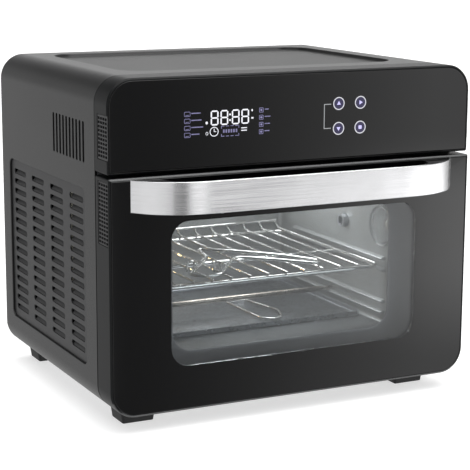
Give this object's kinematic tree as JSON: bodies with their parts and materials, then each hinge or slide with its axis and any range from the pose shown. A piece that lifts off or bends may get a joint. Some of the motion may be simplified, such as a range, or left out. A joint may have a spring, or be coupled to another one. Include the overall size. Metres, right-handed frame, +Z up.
{
  "type": "air fryer oven",
  "caption": "Countertop air-fryer oven: rounded casing, glass drop-down door with a bowed bar handle, touch panel above, wire rack, louvred sides and short feet.",
  "frame": {"origin": "on the worktop, under the middle of the whole object's box, handle included", "axes": "+Z up, the door and the touch panel face -Y, +X to the right of someone facing the door"},
  "size_m": [0.4, 0.3526, 0.3425],
  "materials": {
    "shell_plastic": "satin moulded, fine texture",
    "frame_plastic": "satin",
    "black_glass": "gloss, black printed back",
    "clear_glass": "polished",
    "handle_steel": "brushed along its length",
    "black_plastic": "satin",
    "gland_rubber": "matte",
    "seal_rubber": "matte silicone",
    "liner_steel": "satin rolled sheet",
    "panel_steel": "satin paint",
    "bright_wire": "bright plated",
    "heater_steel": "heat-toned tube",
    "plated_steel": "zinc plated",
    "motor_steel": "satin",
    "board_green": "solder mask",
    "wool": "fibrous",
    "bulb_glass": "clear",
    "plunger_plastic": "satin"
  },
  "bodies": {
    "oven_body": {"outer_shell": "shell_plastic", "vent_panel_left": "shell_plastic", "vent_panel_right": "shell_plastic", "upper_grille_left": "shell_plastic", "upper_grille_right": "shell_plastic", "rear_panel": "frame_plastic", "control_housing": "frame_plastic", "control_glass": "black_glass", "lamp_lens": "clear_glass", "foot_front_left": "black_plastic", "foot_front_right": "black_plastic", "foot_rear_left": "black_plastic", "foot_rear_right": "black_plastic", "display_module": "black_plastic", "door_switch": "black_plastic", "cord_gland": "gland_rubber", "cavity_liner": "liner_steel", "front_frame": "panel_steel", "grip_tool": "bright_wire", "thermostat_probe": "bright_wire", "lower_heater_front": "heater_steel", "lower_heater_rear": "heater_steel", "upper_heater_front": "heater_steel", "upper_heater_rear": "heater_steel", "base_plate": "plated_steel", "crumb_tray": "plated_steel", "hinge_bracket_left": "plated_steel", "hinge_bracket_right": "plated_steel", "lamp_housing": "plated_steel", "fan_guard": "plated_steel", "fan_housing": "plated_steel", "fan_motor": "motor_steel", "rotisserie_motor": "motor_steel", "control_board": "board_green", "power_board": "board_green", "insulation_left": "wool", "insulation_right": "wool", "lamp_bulb": "bulb_glass"},
    "door": {"door_frame": "frame_plastic", "door_outer_glass": "black_glass", "door_inner_panel": "panel_steel", "door_inner_glass": "clear_glass", "door_seal": "seal_rubber", "handle_bar": "handle_steel", "handle_core": "black_plastic", "handle_screw_left": "plated_steel", "handle_screw_right": "plated_steel", "hinge_pin_left": "plated_steel", "hinge_pin_right": "plated_steel", "door_stay_left": "plated_steel", "door_stay_right": "plated_steel", "lower_grille_left": "shell_plastic", "lower_grille_right": "shell_plastic"},
    "rack": {"wire_rack": "bright_wire", "lift_tool": "bright_wire"},
    "fan": {"fan_shaft": "plated_steel", "hot_impeller": "plated_steel", "cooling_impeller": "black_plastic"},
    "rotisserie_drive": {"rotisserie_coupling": "plated_steel"},
    "switch_plunger": {"switch_plunger": "plunger_plastic"}
  },
  "joints": [
    {"name": "door_hinge", "type": "hinge", "parent": "oven_body", "child": "door", "pos_m": [0, -0.12265, 0.0315], "axis": [1, 0, 0], "range_deg": [0, 80]},
    {"name": "rack_slide", "type": "slide", "parent": "oven_body", "child": "rack", "axis": [0, -1, 0], "range_m": [0, 0.12]},
    {"name": "plunger_slide", "type": "slide", "parent": "oven_body", "child": "switch_plunger", "axis": [0, -1, 0], "range_m": [0, 0.0025]},
    {"name": "fan_spin", "type": "hinge", "parent": "oven_body", "child": "fan", "pos_m": [0, 0.02435, 0.25], "axis": [0, 0, 1], "continuous": true},
    {"name": "rotisserie_spin", "type": "hinge", "parent": "oven_body", "child": "rotisserie_drive", "pos_m": [0.14, 0.00535, 0.1605], "axis": [1, 0, 0], "continuous": true}
  ],
  "couplings": [
    {"joint": "rack_slide", "follows": "door_hinge", "m_per_rad": 0.0859},
    {"joint": "plunger_slide", "follows": "door_hinge", "m_per_rad": 0.00179}
  ]
}
